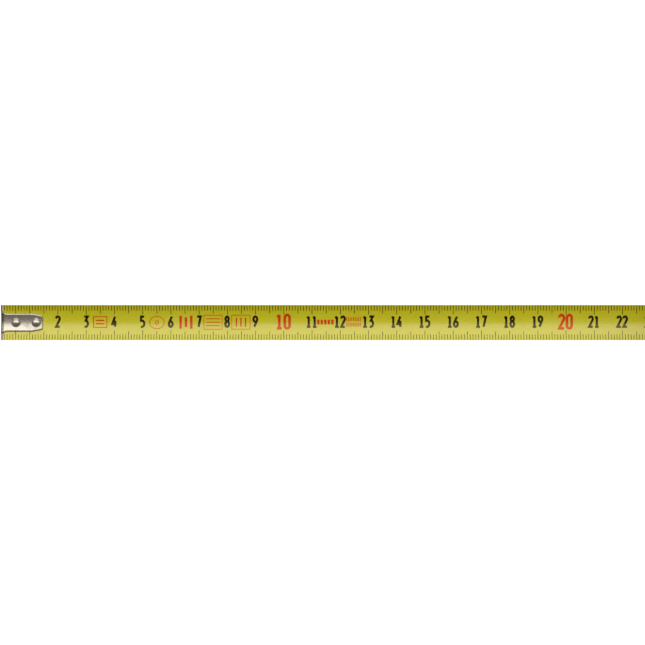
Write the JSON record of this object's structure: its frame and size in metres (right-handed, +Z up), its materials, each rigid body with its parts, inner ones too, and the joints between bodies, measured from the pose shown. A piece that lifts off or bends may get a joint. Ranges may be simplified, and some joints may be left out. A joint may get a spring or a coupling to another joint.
{
  "type": "pocket tape measure",
  "caption": "Pocket tape measure with its curved steel blade pulled out, an L-shaped end hook, a spring reel, a thumb lock and a belt clip.",
  "frame": {"origin": "middle of the case's flat base, under the joint between its two halves", "axes": "+Z up from the base, -X the way the blade pulls out, +Y towards the belt clip"},
  "size_m": [0.3008, 0.0298, 0.0566],
  "materials": {
    "case_plastic": "fine spark-eroded grain",
    "grip_rubber": "matt soft moulding",
    "black_rubber": "matt",
    "badge_metal": "turned",
    "clip_steel": "plated, lightly scratched",
    "screw_steel": "zinc plated",
    "arbor_steel": "turned",
    "spring_steel": "blued",
    "reel_plastic": "natural moulding",
    "blade_coat": "satin yellow nylon coat",
    "ink_black": "satin print under the coat",
    "ink_red": "satin print under the coat",
    "rivet_steel": "plated, domed",
    "hook_steel": "plated, dull",
    "lock_plastic": "moulded",
    "inner_plastic": "moulded"
  },
  "bodies": {
    "case": {"case_shell_left": "case_plastic", "case_shell_right": "case_plastic", "grip_left": "grip_rubber", "grip_right": "grip_rubber", "hook_bumper": "black_rubber", "face_badge": "badge_metal", "belt_clip": "clip_steel", "clip_screw": "screw_steel", "case_screws": "screw_steel", "spring_arbor": "arbor_steel"},
    "reel": {"reel_drum": "reel_plastic", "reel_flange_left": "reel_plastic", "reel_flange_right": "reel_plastic", "blade_coil": "blade_coat", "power_spring": "spring_steel"},
    "blade": {"blade_strip": "blade_coat", "hook_rivets": "rivet_steel"},
    "hook": {"end_hook": "hook_steel"},
    "lock": {"lock_button": "lock_plastic", "lock_tongue": "inner_plastic", "brake_pad": "black_rubber"}
  },
  "joints": [
    {"name": "blade_slide", "type": "slide", "parent": "case", "child": "blade", "axis": [-1, 0, 0], "range_m": [-0.025, 0.025]},
    {"name": "reel_turn", "type": "hinge", "parent": "case", "child": "reel", "pos_m": [0.002, 0, 0.0295], "axis": [0, 1, 0], "range_deg": [-72, 72], "deforming": ["power_spring"]},
    {"name": "hook_slide", "type": "slide", "parent": "blade", "child": "hook", "axis": [-1, 0, 0], "range_m": [-0.00025, 0.00025]},
    {"name": "lock_slide", "type": "slide", "parent": "case", "child": "lock", "axis": [0, 0, 1], "range_m": [0, 0.007]}
  ],
  "couplings": [
    {"joint": "reel_turn", "follows": "blade_slide", "rad_per_m": 49.63}
  ]
}
